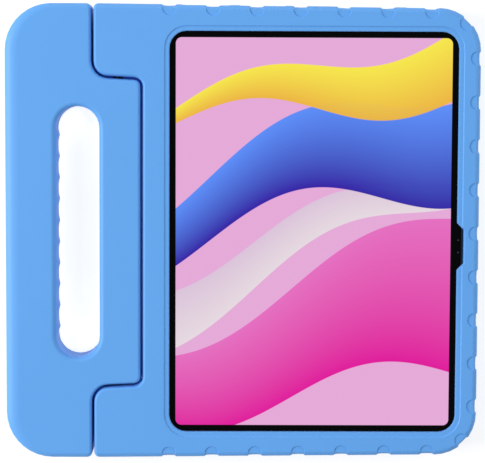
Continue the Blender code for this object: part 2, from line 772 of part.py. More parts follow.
def front_sensors():
    """The front camera's lens and the light sensor, set in the glass at the lip's notch."""
    for name, y in front_sensor_places():
        place = Matrix.Translation((front_sensor_x(), y, TABLET_FRONT))
        radius = FRONT_CAMERA_RADIUS - GAP / 2
        seat = GAP - GLASS_THICKNESS / 2
        profile = [(radius, seat), (radius, -LENS_BEVEL), (radius * LENS_SHARE, 0.0)]
        lathe(name, profile, black_glass(), place, 12)


def display_levels():
    top = TABLET_FRONT - GLASS_THICKNESS - GAP
    return [(top - DISPLAY_THICKNESS, 0.0), (top, 0.0)]


def display_panel():
    """The display, which stops short of the charging port."""
    margin = PORT_DEPTH + 2 * GAP
    block("display_panel", tablet_outline(margin), display_levels(), grey_plastic())


def inner_room():
    """Lowest and highest place for what lies between the housing's floor and the display."""
    low = TABLET_BACK + HOUSING_WALL + GAP
    high = display_levels()[0][0] - GAP
    return low, high


def inner_slab(name, left, right, skin):
    """A flat inner piece between two places across the tablet."""
    low, high = inner_room()
    length = TABLET_LENGTH - 4 * BATTERY_MARGIN
    corners = rounded(right - left, length, HOUSING_WALL, ((left + right) / 2, 0), 2)
    block(name, corners, [(low, 0.0), (high, 0.0)], skin)


def inner_pieces():
    """Two battery cells with the logic board between them."""
    half = TABLET_WIDTH / 2 - BATTERY_MARGIN
    left, right = TABLET_X - BOARD_WIDTH / 2, TABLET_X + BOARD_WIDTH / 2
    inner_slab("battery_left", TABLET_X - half, left - GAP, grey_plastic())
    inner_slab("battery_right", right + GAP, TABLET_X + half, grey_plastic())
    inner_slab("logic_board", left, right, material("green_board", (0.02, 0.10, 0.04), 0.5))


def rear_camera():
    """The rear camera's metal ring, and its lens."""
    x, y = camera_place()
    low, high = TABLET_BACK - REAR_CAMERA_RISE, TABLET_BACK + REAR_CAMERA_SEAT
    bore = REAR_CAMERA_RADIUS - REAR_CAMERA_WALL
    place = Matrix.Translation((x, y, 0))
    edge = REAR_CAMERA_BEVEL
    ring_profile = [
        (REAR_CAMERA_RADIUS - edge, low),
        (REAR_CAMERA_RADIUS, low + edge),
        (REAR_CAMERA_RADIUS, high),
        (bore, high),
        (bore, low),
    ]
    lathe("rear_camera_ring", ring_profile, housing_metal(), place, 16, closed=True)
    lens = bore - GAP
    lens_profile = [(lens * LENS_SHARE, low + edge), (lens, low + 2 * edge), (lens, high)]
    lathe("rear_camera_lens", lens_profile, black_glass(), place, 16)


def button(housing, name, place, length):
    """A button in the top end's wall, with its origin on its slide."""
    corners = rounded(length, BUTTON_THICKNESS, BUTTON_THICKNESS / 2 - SHARPEST, steps=3)
    edge = TABLET_LENGTH / 2
    levels = [
        (edge - HOUSING_WALL, 0.0),
        (edge + BUTTON_RISE / 2, 0.0),
        (edge + BUTTON_RISE, BUTTON_RISE / 2),
    ]
    piece = block(name, corners, levels, housing_metal(), end_piece_place(place, TOP_END))
    put_origin(piece, (TABLET_X + place, edge, TABLET_MIDDLE))
    end_hole(housing, name, place, length, BUTTON_THICKNESS, TOP_END)


def buttons(housing):
    button(housing, "power_button", POWER_PLACE, POWER_LENGTH)
    button(housing, "volume_up_button", VOLUME_PLACE - VOLUME_SPACING / 2, VOLUME_LENGTH)
    button(housing, "volume_down_button", VOLUME_PLACE + VOLUME_SPACING / 2, VOLUME_LENGTH)


def charging_port(housing):
    """The port's metal shell, closed at its inner end, and the contact tongue in it."""
    edge = TABLET_LENGTH / 2
    place = end_piece_place(0.0, BOTTOM_END)
    radius = PORT_HEIGHT / 2 - SHARPEST
    outer = rounded(PORT_WIDTH, PORT_HEIGHT, radius, steps=3)
    mouth = edge - GAP
    back = mouth - PORT_DEPTH
    shell = block("port_shell", outer, [(back, 0.0), (mouth, 0.0)], housing_metal(), place)
    bore = [(back + PORT_WALL, PORT_WALL), (mouth + OVERCUT, PORT_WALL)]
    cut(shell, block("port_bore_cutter", outer, bore, None, place))
    tongue_width = PORT_WIDTH - PORT_HEIGHT
    tongue = rounded(tongue_width, PORT_TONGUE, PORT_TONGUE / 4, steps=1)
    levels = [(back + PORT_WALL + GAP, 0.0), (mouth - 2 * PORT_WALL, 0.0)]
    block("port_tongue", tongue, levels, grey_plastic(), place)
    end_hole(housing, "port_hole", 0.0, PORT_WIDTH, PORT_HEIGHT, BOTTOM_END)


def speaker(housing, name, place, end):
    """A perforated grille in the housing's wall."""
    edge = TABLET_LENGTH / 2
    corners = rounded(SPEAKER_LENGTH, SPEAKER_HEIGHT, SPEAKER_HEIGHT / 2 - SHARPEST, steps=3)
    back = edge - SPEAKER_THICKNESS
    where = end_piece_place(place, end)
    grille = block(name, corners, [(back, 0.0), (edge - GAP, 0.0)], grey_plastic(), where)
    pitch = (SPEAKER_LENGTH - SPEAKER_HEIGHT) / (SPEAKER_HOLES - 1)
    radius = SPEAKER_HOLE_RADIUS
    for index in range(SPEAKER_HOLES):
        shift = (index - (SPEAKER_HOLES - 1) / 2) * pitch
        profile = [(radius, back - OVERCUT), (radius, edge + OVERCUT)]
        spot = end_piece_place(place + shift, end)
        cut(grille, lathe(f"{name}_hole_{index}", profile, None, spot, 6))
    end_hole(housing, name, place, SPEAKER_LENGTH, SPEAKER_HEIGHT, end)


def speakers(housing):
    speaker(housing, "top_speaker_left", -TOP_SPEAKER_PLACE, TOP_END)
    speaker(housing, "top_speaker_right", TOP_SPEAKER_PLACE, TOP_END)
    speaker(housing, "bottom_speaker_left", -BOTTOM_SPEAKER_PLACE, BOTTOM_END)
    speaker(housing, "bottom_speaker_right", BOTTOM_SPEAKER_PLACE, BOTTOM_END)


def hinge_empty():
    empty = bpy.data.objects.new("handle_hinge", None)
    empty.location = (PIVOT_X, 0, PIVOT_HEIGHT)
    bpy.context.scene.collection.objects.link(empty)
    return empty


def main():
    clear_scene()
    case_shell()
    hinge = hinge_empty()
    handle(hinge)
    hinge_pin("hinge_pin_top", TOP_END, hinge)
    hinge_pin("hinge_pin_bottom", BOTTOM_END, hinge)
    hinge_bush("hinge_bush_top", TOP_END)
    hinge_bush("hinge_bush_bottom", BOTTOM_END)
    housing = tablet_housing()
    cover_glass()
    front_sensors()
    display_panel()
    inner_pieces()
    rear_camera()
    buttons(housing)
    charging_port(housing)
    speakers(housing)


main()
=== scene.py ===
"""Looks for the kids tablet case: soft rims and skin on the moulded foam, finishes for the hinge
and the tablet, the lit screen, and the floor, lamps and camera. Metres, in the CAD's frame."""

import math
from typing import NamedTuple

import bpy
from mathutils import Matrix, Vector


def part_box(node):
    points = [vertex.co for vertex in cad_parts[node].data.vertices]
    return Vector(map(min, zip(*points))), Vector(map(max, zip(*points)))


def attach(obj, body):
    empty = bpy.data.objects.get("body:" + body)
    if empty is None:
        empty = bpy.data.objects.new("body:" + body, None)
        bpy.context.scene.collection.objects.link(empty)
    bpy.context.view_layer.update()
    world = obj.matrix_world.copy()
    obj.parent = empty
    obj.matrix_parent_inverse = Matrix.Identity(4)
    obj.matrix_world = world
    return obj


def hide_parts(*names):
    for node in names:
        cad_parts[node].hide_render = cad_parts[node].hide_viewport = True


bl_info = {
    "name": "Kids tablet case",
    "version": (1, 0, 0),
    "blender": (4, 5, 0),
    "location": "3D View > Sidebar > Tablet Case",
    "description": "Foam tablet case with a turning carry handle, and the tablet in it",
    "category": "Object",
}

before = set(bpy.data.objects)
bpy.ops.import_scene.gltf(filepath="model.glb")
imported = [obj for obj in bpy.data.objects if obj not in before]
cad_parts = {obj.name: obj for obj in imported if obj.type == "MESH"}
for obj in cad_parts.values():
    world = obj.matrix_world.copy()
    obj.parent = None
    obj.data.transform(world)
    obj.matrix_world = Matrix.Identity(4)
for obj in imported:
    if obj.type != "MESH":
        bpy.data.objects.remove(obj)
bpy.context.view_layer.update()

GLASS_LOW, GLASS_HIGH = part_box("cover_glass")
SCREEN_MIDDLE = (GLASS_LOW + GLASS_HIGH) / 2

# The slot's side towards the grip has rows of points along y, so many of them for each finger
HANDLE_LOW, HANDLE_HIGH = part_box("handle")
GRIP_WIDTH = 0.0305
SLOT_SIDE = HANDLE_LOW.x + GRIP_WIDTH
FINGER_PITCH = 0.01305
FINGER_POINTS = 4
FINGER_STEP = FINGER_PITCH / FINGER_POINTS
FINGER_RIDGE = 0.0013
FINGER_RIM = 0.003
FINGER_LAST_STEP = 18
SLOT_TOLERANCE = 0.00002

# How a copy of a CAD solid is cleaned and its rims are rounded
MERGE_DISTANCE = 1e-6
FLAT_ANGLE = math.radians(0.4)
RIM_SEGMENTS = 2

# The floor lies a hair below the case. How open a spot is, from 0 to 1, tells seams and the slot
# from the rest: painted dark shade up to the first of GAP_OPENNESS, painted plain white light over
# the shade up to the last of SLOT_OPENNESS
FLOOR_GAP = 0.0001
FLOOR_TOUCH = 10 * FLOOR_GAP
OPENNESS_REACH = 2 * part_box("case_shell")[1].z
GAP_OPENNESS = (0.08, 0.22)
SLOT_OPENNESS = (0.5, 0.38)
# Painted shade: dark blue glow on the floor in narrow seams, tinted like light bounced off the foam
GAP_PAINTED_SHADE = (0.002, 0.017, 0.14, 1.0)
# Painted light: plain white glow on the floor in the slot, over the shade that falls there
SLOT_PAINTED_LIGHT = (1.0, 1.0, 1.0, 1.0)
FLOOR_COLOUR = (0.73, 0.73, 0.73, 1.0)
FLOOR_SHADED = (0.42, 0.42, 0.42, 1.0)
FLOOR_MATT = (0.8, 0.8, 0.8, 1.0)

# Name of each square soft lamp, the setting with its power, its place and its side
LAMPS = (
    ("key_lamp", "key", (-2.0, 0.05, 1.2), 1.1),
    ("fill_lamp", "fill", (1.8, 0.5, 0.9), 1.4),
    ("top_lamp", "top", (0.0, 1.8, 0.9), 1.0),
)


# Sizes and colours that a user would change


class FoamSettings(bpy.types.PropertyGroup):
    """The moulded foam of the shell and the handle."""

    colour: bpy.props.FloatVectorProperty(
        name="Foam colour",
        description="Colour of the foam all through",
        subtype="COLOR",
        min=0,
        max=1,
        default=(0.129, 0.404, 0.90),
    )
    roughness: bpy.props.FloatProperty(
        name="Roughness", description="Roughness of the foam's skin", min=0, max=1, default=0.5
    )
    shine: bpy.props.FloatProperty(
        name="Shine", description="Strength of the skin's reflections", min=0, max=1, default=0.36
    )
    rim: bpy.props.FloatProperty(
        name="Rim",
        description="Rounding of the sharp rims of windows and grooves",
        unit="LENGTH",
        min=0.0001,
        max=0.001,
        default=0.0003,
    )
    soft_angle: bpy.props.FloatProperty(
        name="Soft angle",
        description="Faces that meet at less than this are shaded as one surface",
        subtype="ANGLE",
        default=math.radians(42),
    )
    grain: bpy.props.FloatProperty(
        name="Grain",
        description="Size of the fine grain in the skin",
        unit="LENGTH",
        default=0.0006,
    )
    grain_depth: bpy.props.FloatProperty(
        name="Grain depth", description="Depth of that grain", unit="LENGTH", default=0.00003
    )


class TabletSettings(bpy.types.PropertyGroup):
    """The tablet's metal, glass and lit screen."""

    metal: bpy.props.FloatVectorProperty(
        name="Metal colour",
        description="Colour of the blasted metal tray",
        subtype="COLOR",
        min=0,
        max=1,
        default=(0.045, 0.046, 0.05),
    )
    border: bpy.props.FloatVectorProperty(
        name="Border colour",
        description="Colour of the glass round the lit screen",
        subtype="COLOR",
        min=0,
        max=1,
        default=(0.0012, 0.0013, 0.0018),
    )
    screen_width: bpy.props.FloatProperty(
        name="Screen width", description="Width of the lit screen", unit="LENGTH", default=0.1668
    )
    screen_length: bpy.props.FloatProperty(
        name="Screen length",
        description="Length of the lit screen",
        unit="LENGTH",
        default=0.2356,
    )
    screen_corner: bpy.props.FloatProperty(
        name="Screen corner",
        description="Corner radius of the lit screen",
        unit="LENGTH",
        default=0.0036,
    )
    glow: bpy.props.FloatProperty(
        name="Glow", description="Brightness of the lit screen", min=0, max=4, default=1.0
    )


class StageSettings(bpy.types.PropertyGroup):
    """The floor, the lamps and the camera."""

    floor: bpy.props.FloatProperty(
        name="Floor size", description="Side of the square floor", unit="LENGTH", default=12.0
    )
    sky: bpy.props.FloatProperty(
        name="Sky", description="Strength of the even light all round", min=0, max=2, default=0.36
    )
    key: bpy.props.FloatProperty(
        name="Key lamp", description="Power of the lamp at the left", default=45.0
    )
    fill: bpy.props.FloatProperty(
        name="Fill lamp", description="Power of the lamp at the right", default=11.0
    )
    top: bpy.props.FloatProperty(
        name="Top lamp", description="Power of the lamp beyond the top side", default=7.0
    )
    camera_place: bpy.props.FloatVectorProperty(
        name="Camera place",
        description="Where the camera stands",
        subtype="TRANSLATION",
        default=(-0.0096, 0.0860, 1.1207),
    )
    camera_turn: bpy.props.FloatVectorProperty(
        name="Camera turn",
        description="How the camera is turned from looking straight down",
        subtype="EULER",
        default=(math.radians(-4.438), math.radians(-0.486), math.radians(0.228)),
    )
    camera_lens: bpy.props.FloatProperty(
        name="Lens", description="Focal length in millimetres", default=134.96
    )


# Helpers for pieces


def deselect_all():
    """Leaves edit mode and selects nothing."""
    if bpy.context.object is not None and bpy.context.object.mode != "OBJECT":
        bpy.ops.object.mode_set(mode="OBJECT")
    bpy.ops.object.select_all(action="DESELECT")


def make_active(piece):
    """Selects one piece only, for the operators that follow."""
    deselect_all()
    piece.select_set(True)
    bpy.context.view_layer.objects.active = piece


def copy_of(node, name):
    """A piece in the shape of a CAD node, with its loose triangles merged into whole faces."""
    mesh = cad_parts[node].data.copy()
    mesh.name = name
    piece = bpy.data.objects.new(name, mesh)
    bpy.context.scene.collection.objects.link(piece)
    make_active(piece)
    bpy.ops.object.mode_set(mode="EDIT")
    bpy.ops.mesh.select_all(action="SELECT")
    bpy.ops.mesh.remove_doubles(threshold=MERGE_DISTANCE)
    bpy.ops.mesh.dissolve_limited(angle_limit=FLAT_ANGLE)
    bpy.ops.object.mode_set(mode="OBJECT")
    return piece


def shift_finger_ridges(piece):
    """Moves the ridges on the slot's grip side on by half a finger, so that ten of them show."""
    half_height = (HANDLE_HIGH.z - HANDLE_LOW.z) / 2 - FINGER_RIM
    middle = (HANDLE_HIGH.z + HANDLE_LOW.z) / 2
    for vertex in piece.data.vertices:
        place = vertex.co
        level = (place.z - middle) / half_height
        if abs(place.x - SLOT_SIDE) > 2 * FINGER_RIDGE or abs(level) >= 1:
            continue
        step = round(place.y / FINGER_STEP)
        if abs(place.y - step * FINGER_STEP) > SLOT_TOLERANCE or abs(step) > FINGER_LAST_STEP:
            continue
        reach = FINGER_RIDGE * math.sqrt(1 - level**2)
        if step % FINGER_POINTS == FINGER_POINTS // 2:
            place.x += reach
        elif step % FINGER_POINTS == 0:
            place.x -= reach


def apply_modifiers(piece):
    """Bakes a piece's modifiers into its mesh."""
    make_active(piece)
    for modifier in list(piece.modifiers):
        bpy.ops.object.modifier_apply(modifier=modifier.name)


def soften(piece, rim, soft_angle):
    """Rounds the sharp rims and shades the rest as one skin, with the flats kept flat."""
    bevel = piece.modifiers.new("rims", "BEVEL")
    bevel.width = rim
    bevel.segments = RIM_SEGMENTS
    bevel.limit_method = "ANGLE"
    bevel.angle_limit = soft_angle
    bevel.use_clamp_overlap = True
    bevel.miter_outer = "MITER_ARC"
    make_active(piece)
    bpy.ops.object.shade_smooth_by_angle(angle=soft_angle)
    normals = piece.modifiers.new("flats", "WEIGHTED_NORMAL")
    normals.keep_sharp = True
    apply_modifiers(piece)


def dress(node, finish):
    """Gives a CAD node its material."""
    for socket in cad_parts[node].material_slots:
        socket.material = finish


def finish_piece(piece, node, body, finish):
    """Gives a piece its material, hides the CAD node it stands for, and sets which body it rides on.
    """
    piece.data.materials.clear()
    piece.data.materials.append(finish)
    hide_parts(node)
    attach(piece, body)


# Helpers for materials


def feed(tree, socket, value):
    """Links a socket to another, or sets its value."""
    if isinstance(value, bpy.types.NodeSocket):
        tree.links.new(value, socket)
    else:
        socket.default_value = value


def compute(tree, operation, *values):
    """A maths node's result. Each value is a number or a socket."""
    made = tree.nodes.new("ShaderNodeMath")
    made.operation = operation
    for socket, value in zip(made.inputs, values):
        feed(tree, socket, value)
    return made.outputs[0]


def blend_colours(tree, share, first, second):
    """The first colour at share 0, the second at 1."""
    made = tree.nodes.new("ShaderNodeMix")
    made.data_type = "RGBA"
    feed(tree, made.inputs["Factor"], share)
    feed(tree, made.inputs["A"], first)
    feed(tree, made.inputs["B"], second)
    return made.outputs["Result"]


def ramp(tree, value, start, end):
    """Runs from 0 where the value is at the start to 1 where it is at the end."""
    made = tree.nodes.new("ShaderNodeMapRange")
    feed(tree, made.inputs["Value"], value)
    made.inputs["From Min"].default_value = start
    made.inputs["From Max"].default_value = end
    return made.outputs["Result"]


def mix_shaders(tree, share, first, second):
    """The first shader at share 0, the second at 1."""
    made = tree.nodes.new("ShaderNodeMixShader")
    feed(tree, made.inputs["Fac"], share)
    feed(tree, made.inputs[1], first)
    feed(tree, made.inputs[2], second)
    return made.outputs[0]


def matt_shader(tree, colour):
    """A plain diffuse shader."""
    made = tree.nodes.new("ShaderNodeBsdfDiffuse")
    made.inputs["Color"].default_value = colour
    return made.outputs[0]


def noise(tree, vector, scale, detail, roughness=0.5):
    """Soft noise from 0 to 1."""
    made = tree.nodes.new("ShaderNodeTexNoise")
    feed(tree, made.inputs["Vector"], vector)
    feed(tree, made.inputs["Scale"], scale)
    made.inputs["Detail"].default_value = detail
    made.inputs["Roughness"].default_value = roughness
    return made.outputs["Fac"]


def object_place(tree):
    """The place on the piece, in its own coordinates."""
    return tree.nodes.new("ShaderNodeTexCoord").outputs["Object"]


def new_group(name, inputs, outputs):
    """A node group: inputs are (name, type, default), outputs (name, type)."""
    tree = bpy.data.node_groups.new(name, "ShaderNodeTree")
    for label, kind, default in inputs:
        socket = tree.interface.new_socket(label, in_out="INPUT", socket_type=kind)
        socket.default_value = default
    for label, kind in outputs:
        tree.interface.new_socket(label, in_out="OUTPUT", socket_type=kind)
    return tree, tree.nodes.new("NodeGroupInput").outputs, tree.nodes.new("NodeGroupOutput").inputs


def skin_group():
    """Fine grain and slow mottling, which every moulded, blasted or painted skin has."""
    found = bpy.data.node_groups.get("moulded_skin")
    if found is not None:
        return found
    tree, given, put = new_group(
        "moulded_skin",
        [
            ("Colour", "NodeSocketColor", (0.5, 0.5, 0.5, 1.0)),
            ("Roughness", "NodeSocketFloat", 0.5),
            ("Grain Size", "NodeSocketFloat", 0.0006),
            ("Mottle Size", "NodeSocketFloat", 0.02),
            ("Mottle", "NodeSocketFloat", 0.04),
        ],
        [
            ("Colour", "NodeSocketColor"),
            ("Roughness", "NodeSocketFloat"),
            ("Height", "NodeSocketFloat"),
        ],
    )
    place = object_place(tree)
    grain_scale = compute(tree, "DIVIDE", 1.0, given["Grain Size"])
    mottle_scale = compute(tree, "DIVIDE", 1.0, given["Mottle Size"])
    grain = noise(tree, place, grain_scale, detail=3.0, roughness=0.6)
    mottle = noise(tree, place, mottle_scale, detail=4.0, roughness=0.65)
    swing = compute(tree, "SUBTRACT", mottle, 0.5)
    value = compute(tree, "MULTIPLY_ADD", swing, given["Mottle"], 1.0)
    shade = tree.nodes.new("ShaderNodeHueSaturation")
    feed(tree, shade.inputs["Value"], value)
    feed(tree, shade.inputs["Color"], given["Colour"])
    rough_swing = compute(tree, "MULTIPLY_ADD", swing, given["Mottle"], given["Roughness"])
    feed(tree, put["Colour"], shade.outputs["Color"])
    feed(tree, put["Roughness"], rough_swing)
    feed(tree, put["Height"], grain)
    return tree


def skin_material(name, colour, roughness, grain, depth, **extra):
    """A Principled BSDF with the moulded skin group in it. Extra sets the shader's own sockets."""
    found = bpy.data.materials.get(name)
    if found is not None:
        return found
    made = bpy.data.materials.new(name)
    made.use_nodes = True
    tree = made.node_tree
    shader = tree.nodes["Principled BSDF"]
    skin = tree.nodes.new("ShaderNodeGroup")
    skin.node_tree = skin_group()
    skin.inputs["Colour"].default_value = (*colour, 1.0)
    skin.inputs["Roughness"].default_value = roughness
    skin.inputs["Grain Size"].default_value = grain
    skin.inputs["Mottle Size"].default_value = extra.pop("mottle_size", 0.03)
    skin.inputs["Mottle"].default_value = extra.pop("mottle", 0.05)
    bump = tree.nodes.new("ShaderNodeBump")
    bump.inputs["Distance"].default_value = depth
    feed(tree, bump.inputs["Height"], skin.outputs["Height"])
    feed(tree, shader.inputs["Base Color"], skin.outputs["Colour"])
    feed(tree, shader.inputs["Roughness"], skin.outputs["Roughness"])
    feed(tree, shader.inputs["Normal"], bump.outputs["Normal"])
    for socket, value in extra.items():
        shader.inputs[socket.replace("_", " ").title()].default_value = value
    made.diffuse_color = (*colour, 1.0)
    return made


def foam_material():
    """Closed-cell foam with its moulded skin: satin, finely grained, slightly uneven in tone."""
    foam = bpy.context.scene.case_foam
    made = skin_material(
        "moulded_foam",
        tuple(foam.colour),
        foam.roughness,
        foam.grain,
        foam.grain_depth,
        mottle=0.05,
        mottle_size=0.035,
        sheen_weight=0.04,
    )
    shader = made.node_tree.nodes["Principled BSDF"]
    shader.inputs["Specular IOR Level"].default_value = foam.shine
    return made


def plastic_material(name, colour, roughness=0.4):
    """Hard moulded plastic."""
    return skin_material(name, colour, roughness, grain=0.0004, depth=0.00001, mottle=0.08)


def metal_material(name, colour, roughness, grain=0.00012):
    """Blasted or brushed metal."""
    return skin_material(
        name, colour, roughness, grain, depth=0.000006, mottle=0.06, metallic=1.0
    )


def lens_material():
    """Coated lens glass over a dark barrel."""
    return skin_material(
        "camera_glass",
        (0.01, 0.012, 0.02),
        roughness=0.06,
        grain=0.0005,
        depth=0.0,
        mottle=0.1,
        coat_weight=0.6,
        coat_roughness=0.03,
    )


def rounded_mask(tree, place, middle, width, length, corner, softness):
    """1 inside a rounded rectangle in plan, 0 outside it. The place's parts come with it."""
    parts = tree.nodes.new("ShaderNodeSeparateXYZ")
    feed(tree, parts.inputs[0], place)
    over = []
    for axis, size, centre in (("X", width, middle.x), ("Y", length, middle.y)):
        shifted = compute(tree, "SUBTRACT", parts.outputs[axis], centre)
        away = compute(tree, "ABSOLUTE", shifted)
        over.append(compute(tree, "MAXIMUM", compute(tree, "SUBTRACT", away, size / 2 - corner), 0))
    squares = [compute(tree, "MULTIPLY", value, value) for value in over]
    reach = compute(tree, "SQRT", compute(tree, "ADD", *squares))
    return ramp(tree, reach, corner + softness, corner - softness), parts.outputs


def wave(tree, along, across, rate, lean, start, height):
    """Height of a sine that runs along one axis and leans with the other."""
    phase = compute(tree, "MULTIPLY_ADD", along, rate, start)
    leaning = compute(tree, "MULTIPLY_ADD", across, lean, phase)
    return compute(tree, "MULTIPLY", compute(tree, "SINE", leaning), height)


class Ribbon(NamedTuple):
    """A wide wave of colour over the screen, in shares of the screen's width and length."""

    middle: float
    lean: float
    swing: float
    rate: float
    start: float
    half_width: float
    widening: float
    cover: float
    lower: tuple
    upper: tuple


SCREEN_GROUND = (0.783, 0.402, 0.687, 1.0)
SCREEN_OFF = (0.0, 0.0, 0.0, 1.0)
SCREEN_SOFTNESS = 0.0001
RIBBON_EDGE = 0.0015
SCREEN_RIBBONS = (
    Ribbon(-0.27, 0.2, 0.06, 5.2, 0.4, 0.15, 0.1, 1.0, (0.74, 0.01, 0.33), (0.78, 0.16, 0.53)),
    Ribbon(-0.02, 0.3, 0.055, 5.6, 1.2, 0.05, -0.05, 0.92, (0.79, 0.72, 0.75), (0.7, 0.56, 0.7)),
    Ribbon(0.15, 0.24, 0.075, 5.0, 1.9, 0.105, 0.06, 0.97, (0.014, 0.001, 0.36), (0.09, 0.27, 0.95)),
    Ribbon(0.37, 0.14, 0.045, 6.0, 3.0, 0.055, 0.07, 0.96, (0.84, 0.46, 0.03), (0.93, 0.82, 0.05)),
)


def ribbon(tree, under, across, along, look):
    """Lays one wave of colour over the picture, shaded from its lower edge to its upper."""
    line = wave(tree, across, along, look.rate, 0.0, look.start, look.swing)
    leaning = compute(tree, "MULTIPLY_ADD", across, look.lean, look.middle)
    offset = compute(tree, "SUBTRACT", compute(tree, "SUBTRACT", along, leaning), line)
    half_width = compute(tree, "MULTIPLY_ADD", across, look.widening, look.half_width)
    inside = compute(tree, "SUBTRACT", half_width, compute(tree, "ABSOLUTE", offset))
    cover = compute(tree, "MULTIPLY", ramp(tree, inside, 0.0, RIBBON_EDGE), look.cover)
    rise = compute(tree, "MULTIPLY_ADD", compute(tree, "DIVIDE", offset, half_width), 0.5, 0.5)
    shade = blend_colours(tree, rise, (*look.lower, 1.0), (*look.upper, 1.0))
    return blend_colours(tree, cover, under, shade)


def screen_picture(tree, axes, width, length):
    """Ribbons of colour that roll across the screen, one over another."""
    across = compute(tree, "DIVIDE", compute(tree, "SUBTRACT", axes["X"], SCREEN_MIDDLE.x), width)
    along = compute(tree, "DIVIDE", axes["Y"], length)
    picture = SCREEN_GROUND
    for look in SCREEN_RIBBONS:
        picture = ribbon(tree, picture, across, along, look)
    return picture


GLASS_SPECULAR = 0.06
GLASS_ROUGHNESS = 0.04
SMEAR_SCALE = 60.0


def screen_material():
    """Black cover glass with the lit screen showing through it."""
    tablet = bpy.context.scene.case_tablet
    made = bpy.data.materials.new("screen_glass")
    made.use_nodes = True
    tree = made.node_tree
    shader = tree.nodes["Principled BSDF"]
    place = object_place(tree)
    mask, axes = rounded_mask(
        tree,
        place,
        SCREEN_MIDDLE,
        tablet.screen_width,
        tablet.screen_length,
        tablet.screen_corner,
        SCREEN_SOFTNESS,
    )
    picture = screen_picture(tree, axes, tablet.screen_width, tablet.screen_length)
    lit = blend_colours(tree, mask, SCREEN_OFF, picture)
    feed(tree, shader.inputs["Emission Color"], lit)
    shader.inputs["Emission Strength"].default_value = tablet.glow
    shader.inputs["Base Color"].default_value = (*tablet.border, 1.0)
    shader.inputs["Specular IOR Level"].default_value = GLASS_SPECULAR
    smears = noise(tree, place, SMEAR_SCALE, detail=3.0)
    smeared = compute(tree, "MULTIPLY_ADD", smears, GLASS_ROUGHNESS, GLASS_ROUGHNESS)
    feed(tree, shader.inputs["Roughness"], smeared)
    made.diffuse_color = (*tablet.border, 1.0)
    return made


# One operator for each piece or group of like pieces


class CASE_OT_shell(bpy.types.Operator):
    """Make the moulded foam shell"""

    bl_idname = "tablet_case.shell"
    bl_label = "Foam Shell"

    def execute(self, context):
        foam = context.scene.case_foam
        shell = copy_of("case_shell", "foam_shell")
        soften(shell, foam.rim, foam.soft_angle)
        finish_piece(shell, "case_shell", "case", foam_material())
        return {"FINISHED"}


class CASE_OT_handle(bpy.types.Operator):
    """Make the foam carry handle"""

    bl_idname = "tablet_case.handle"
    bl_label = "Carry Handle"

    def execute(self, context):
        foam = context.scene.case_foam
        grip = copy_of("handle", "carry_handle")
        shift_finger_ridges(grip)
        soften(grip, foam.rim, foam.soft_angle)
        finish_piece(grip, "handle", "handle", foam_material())
        return {"FINISHED"}


class CASE_OT_hinge(bpy.types.Operator):
    """Finish the hinge pins and bushes"""

    bl_idname = "tablet_case.hinge"
    bl_label = "Hinge Pins and Bushes"

    def execute(self, context):
        finish = plastic_material("hinge_plastic", (0.03, 0.06, 0.14))
        for node in ("hinge_pin_top", "hinge_pin_bottom", "hinge_bush_top", "hinge_bush_bottom"):
            dress(node, finish)
        return {"FINISHED"}


class CASE_OT_tablet(bpy.types.Operator):
    """Finish the tablet's tray, buttons, port, speakers, cameras and inner pieces"""

    bl_idname = "tablet_case.tablet"
    bl_label = "Tablet Body"

    def execute(self, context):
        tray = tuple(context.scene.case_tablet.metal)
        metal = metal_material("blasted_metal", tray, roughness=0.34)
        steel = metal_material("port_steel", (0.60, 0.60, 0.58), roughness=0.25, grain=0.0008)
        polished = metal_material("lens_ring_metal", (0.50, 0.52, 0.55), roughness=0.18)
        black = plastic_material("black_plastic", (0.012, 0.012, 0.014), roughness=0.45)
        grille = plastic_material("grille_plastic", (0.03, 0.03, 0.033), roughness=0.6)
        wrap = plastic_material("cell_wrap", (0.06, 0.06, 0.065), roughness=0.5)
        board = plastic_material("board_lacquer", (0.012, 0.09, 0.035), roughness=0.35)
        backing = plastic_material("display_backing", (0.10, 0.10, 0.11), roughness=0.5)
        lens = lens_material()
        finishes = {
            "tablet_housing": metal,
            "power_button": metal,
            "volume_up_button": metal,
            "volume_down_button": metal,
            "rear_camera_ring": polished,
            "rear_camera_lens": lens,
            "front_camera": lens,
            "light_sensor": lens,
            "port_shell": steel,
            "port_tongue": black,
            "top_speaker_left": grille,
            "top_speaker_right": grille,
            "bottom_speaker_left": grille,
            "bottom_speaker_right": grille,
            "battery_left": wrap,
            "battery_right": wrap,
            "logic_board": board,
            "display_panel": backing,
        }
        for node, finish in finishes.items():
            dress(node, finish)
        return {"FINISHED"}


class CASE_OT_screen(bpy.types.Operator):
    """Light the screen behind the cover glass"""

    bl_idname = "tablet_case.screen"
    bl_label = "Screen"

    def execute(self, context):
        dress("cover_glass", screen_material())
        return {"FINISHED"}


